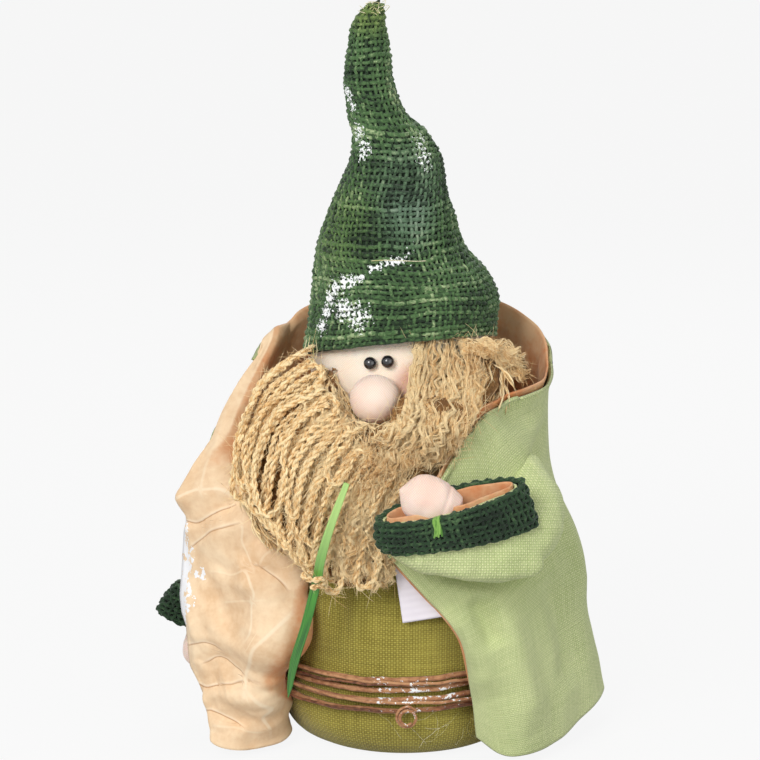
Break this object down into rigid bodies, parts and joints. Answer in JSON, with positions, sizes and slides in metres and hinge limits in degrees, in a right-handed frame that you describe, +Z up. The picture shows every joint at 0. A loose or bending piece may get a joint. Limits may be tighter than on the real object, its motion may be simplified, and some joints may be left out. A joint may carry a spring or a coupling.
{
  "type": "santa figure",
  "caption": "Standing fabric santa figure with a tall crooked burlap hat, a jute beard, a lined linen coat with one front turned back, and soft arms that swing at the shoulder.",
  "frame": {"origin": "centre of the flat base that stands on the floor", "axes": "-Y is the figure's front, +X its left side, +Z up along the body's axis"},
  "size_m": [0.1574, 0.1304, 0.2527],
  "materials": {
    "olive_linen": "plain woven olive linen",
    "card": "grey-brown card",
    "sand": "dry sand in a thin bag",
    "wadding": "white fibre filling",
    "skin": "fine pale knitted cloth with a faint blush",
    "bead": "glossy black bead",
    "burlap": "open dark green burlap with white snow flecks",
    "pale_linen": "plain woven pale green linen",
    "paper_cloth": "crumpled tan cloth like kraft paper",
    "wire": "soft bare wire",
    "jute": "frayed and twisted natural jute",
    "vine": "thin brown vine with flecks of white paint",
    "grass": "glossy green plastic grass",
    "thread": "light green thread",
    "tag": "blank white tape"
  },
  "bodies": {
    "figure": {"body_cover": "olive_linen", "base_disc": "card", "sand_bag": "sand", "body_filling": "wadding", "face_cover": "skin", "head_filling": "wadding", "nose": "skin", "right_eye": "bead", "left_eye": "bead", "hat": "burlap", "hat_filling": "wadding", "coat_shell": "pale_linen", "coat_lining": "paper_cloth", "yoke_wire": "wire", "beard": "jute", "moustache": "jute", "beard_twine": "jute", "side_lock": "jute", "vine_belt": "vine", "vine_tendril": "vine", "grass_blade": "grass", "beard_knot": "jute", "blank_tag": "tag"},
    "left_arm": {"left_sleeve": "pale_linen", "left_sleeve_lining": "paper_cloth", "left_cuff": "burlap", "left_cuff_tie": "thread", "left_hand": "skin", "left_arm_wire": "wire"},
    "right_arm": {"right_sleeve": "pale_linen", "right_sleeve_lining": "paper_cloth", "right_cuff": "burlap", "right_hand": "skin", "right_arm_wire": "wire"}
  },
  "joints": [
    {"name": "left_shoulder", "type": "hinge", "parent": "figure", "child": "left_arm", "pos_m": [0.04, -0.023, 0.096], "axis": [0, 0, 1], "range_deg": [0, 25]},
    {"name": "right_shoulder", "type": "hinge", "parent": "figure", "child": "right_arm", "pos_m": [-0.049, 0.004, 0.1], "axis": [0, 1, 0], "range_deg": [0, 25]}
  ]
}
